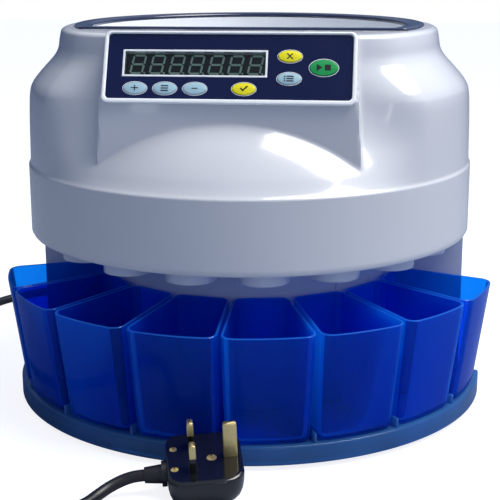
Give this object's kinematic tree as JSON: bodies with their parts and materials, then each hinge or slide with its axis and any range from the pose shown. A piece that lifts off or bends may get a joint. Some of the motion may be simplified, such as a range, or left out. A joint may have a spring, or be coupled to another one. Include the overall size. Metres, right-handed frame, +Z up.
{
  "type": "coin sorting machine",
  "caption": "Tabletop coin sorting machine with a round hopper, sloping control panel, spinning feed disc, coin bins in a fan, and a mains lead with a three-pin plug.",
  "frame": {"origin": "on the table under the middle of the machine's bounding box, measured without the lead", "axes": "+X to the machine's right as seen from the front, the front and the bins face -Y, +Z up"},
  "size_m": [0.4149, 0.4815, 0.2579],
  "materials": {
    "housing": "pale blue-grey gloss plastic",
    "column": "pale grey plastic",
    "rim": "dark navy gloss ring",
    "bowl": "white gloss hopper wall",
    "bin_blue": "translucent blue bins",
    "tray_blue": "dark blue tray",
    "inner_white": "white inner mouldings",
    "dark_plastic": "dark grey plastic",
    "black_plastic": "black gloss plug and fittings",
    "lead": "black flexible lead",
    "foot_rubber": "black rubber feet",
    "steel": "steel",
    "zinc": "zinc plated sheet",
    "brass": "brass pins and screws",
    "bronze": "bronze bushes",
    "gear_nylon": "nylon gears",
    "board_green": "printed circuit board",
    "navy_film": "navy membrane",
    "white_trim": "white border",
    "dark_glass": "dark display window",
    "digit_green": "unlit segments",
    "key_blue": "light blue keys",
    "key_yellow": "yellow keys",
    "key_green": "green key",
    "rocker_red": "red rocker",
    "tie_grey": "cord tie"
  },
  "bodies": {
    "machine": {"base_pan": "dark_plastic", "feet": "foot_rubber", "lower_housing": "column", "tray": "tray_blue", "chassis_deck": "inner_white", "upper_housing": "housing", "hopper_rim": "rim", "hopper_bowl": "bowl", "sorting_plate": "inner_white", "plate_posts": "steel", "coin_chutes": "inner_white", "sensor_board": "board_green", "coin_sensors": "dark_plastic", "shaft_bushes": "bronze", "motor_bracket": "zinc", "drive_motor": "zinc", "transformer": "zinc", "main_board": "board_green", "board_parts": "dark_plastic", "panel_frame": "white_trim", "panel_overlay": "navy_film", "display_bezel": "white_trim", "display_window": "dark_glass", "display_digits": "digit_green", "display_board": "board_green", "key_switches": "dark_plastic", "rear_panel": "dark_plastic", "power_switch": "black_plastic", "fuse_holder": "black_plastic", "data_port": "steel", "strain_relief": "black_plastic", "power_cord": "lead", "cord_coil": "lead", "cord_tie": "tie_grey", "plug_grip": "black_plastic", "plug_body": "black_plastic", "plug_pins": "brass", "plug_screws": "brass", "case_screws": "steel"},
    "disc": {"feed_disc": "column", "disc_shaft": "steel", "disc_gear": "gear_nylon"},
    "motor_rotor": {"motor_pinion": "gear_nylon", "motor_shaft": "steel"},
    "rocker": {"switch_rocker": "rocker_red"},
    "bin_1": {"bin_1": "bin_blue"},
    "bin_2": {"bin_2": "bin_blue"},
    "bin_3": {"bin_3": "bin_blue"},
    "bin_4": {"bin_4": "bin_blue"},
    "bin_5": {"bin_5": "bin_blue"},
    "bin_6": {"bin_6": "bin_blue"},
    "bin_7": {"bin_7": "bin_blue"},
    "bin_8": {"bin_8": "bin_blue"},
    "key_plus": {"key_plus": "key_blue"},
    "key_batch": {"key_batch": "key_blue"},
    "key_minus": {"key_minus": "key_blue"},
    "key_set": {"key_set": "key_yellow"},
    "key_clear": {"key_clear": "key_yellow"},
    "key_report": {"key_report": "key_blue"},
    "key_start": {"key_start": "key_green"}
  },
  "joints": [
    {"name": "disc_spin", "type": "hinge", "parent": "machine", "child": "disc", "pos_m": [0, 0.009, 0.165], "axis": [0, 0, 1], "continuous": true},
    {"name": "motor_spin", "type": "hinge", "parent": "machine", "child": "motor_rotor", "pos_m": [0, 0.0573, 0.145], "axis": [0, 0, 1], "continuous": true},
    {"name": "key_plus_press", "type": "slide", "parent": "machine", "child": "key_plus", "axis": [0, 0.8988, -0.4384], "range_m": [0, 0.0006], "stiffness_N_per_m": 800, "springref_m": -0.0003},
    {"name": "key_batch_press", "type": "slide", "parent": "machine", "child": "key_batch", "axis": [0, 0.8988, -0.4384], "range_m": [0, 0.0006], "stiffness_N_per_m": 800, "springref_m": -0.0003},
    {"name": "key_minus_press", "type": "slide", "parent": "machine", "child": "key_minus", "axis": [0, 0.8988, -0.4384], "range_m": [0, 0.0006], "stiffness_N_per_m": 800, "springref_m": -0.0003},
    {"name": "key_set_press", "type": "slide", "parent": "machine", "child": "key_set", "axis": [0, 0.8988, -0.4384], "range_m": [0, 0.0006], "stiffness_N_per_m": 800, "springref_m": -0.0003},
    {"name": "key_clear_press", "type": "slide", "parent": "machine", "child": "key_clear", "axis": [0, 0.8988, -0.4384], "range_m": [0, 0.0006], "stiffness_N_per_m": 800, "springref_m": -0.0003},
    {"name": "key_report_press", "type": "slide", "parent": "machine", "child": "key_report", "axis": [0, 0.8988, -0.4384], "range_m": [0, 0.0006], "stiffness_N_per_m": 800, "springref_m": -0.0003},
    {"name": "key_start_press", "type": "slide", "parent": "machine", "child": "key_start", "axis": [0, 0.8988, -0.4384], "range_m": [0, 0.0006], "stiffness_N_per_m": 800, "springref_m": -0.0003},
    {"name": "power_rocker", "type": "hinge", "parent": "machine", "child": "rocker", "pos_m": [-0.034, 0.1471, 0.06], "axis": [0, 0, 1], "range_deg": [-14, 0]},
    {"name": "bin_1_lift", "type": "slide", "parent": "machine", "child": "bin_1", "axis": [0, 0, 1], "range_m": [0, 0.022]},
    {"name": "bin_2_lift", "type": "slide", "parent": "machine", "child": "bin_2", "axis": [0, 0, 1], "range_m": [0, 0.022]},
    {"name": "bin_3_lift", "type": "slide", "parent": "machine", "child": "bin_3", "axis": [0, 0, 1], "range_m": [0, 0.022]},
    {"name": "bin_4_lift", "type": "slide", "parent": "machine", "child": "bin_4", "axis": [0, 0, 1], "range_m": [0, 0.022]},
    {"name": "bin_5_lift", "type": "slide", "parent": "machine", "child": "bin_5", "axis": [0, 0, 1], "range_m": [0, 0.022]},
    {"name": "bin_6_lift", "type": "slide", "parent": "machine", "child": "bin_6", "axis": [0, 0, 1], "range_m": [0, 0.022]},
    {"name": "bin_7_lift", "type": "slide", "parent": "machine", "child": "bin_7", "axis": [0, 0, 1], "range_m": [0, 0.022]},
    {"name": "bin_8_lift", "type": "slide", "parent": "machine", "child": "bin_8", "axis": [0, 0, 1], "range_m": [0, 0.022]}
  ],
  "couplings": [
    {"joint": "motor_spin", "follows": "disc_spin", "ratio": -4}
  ]
}
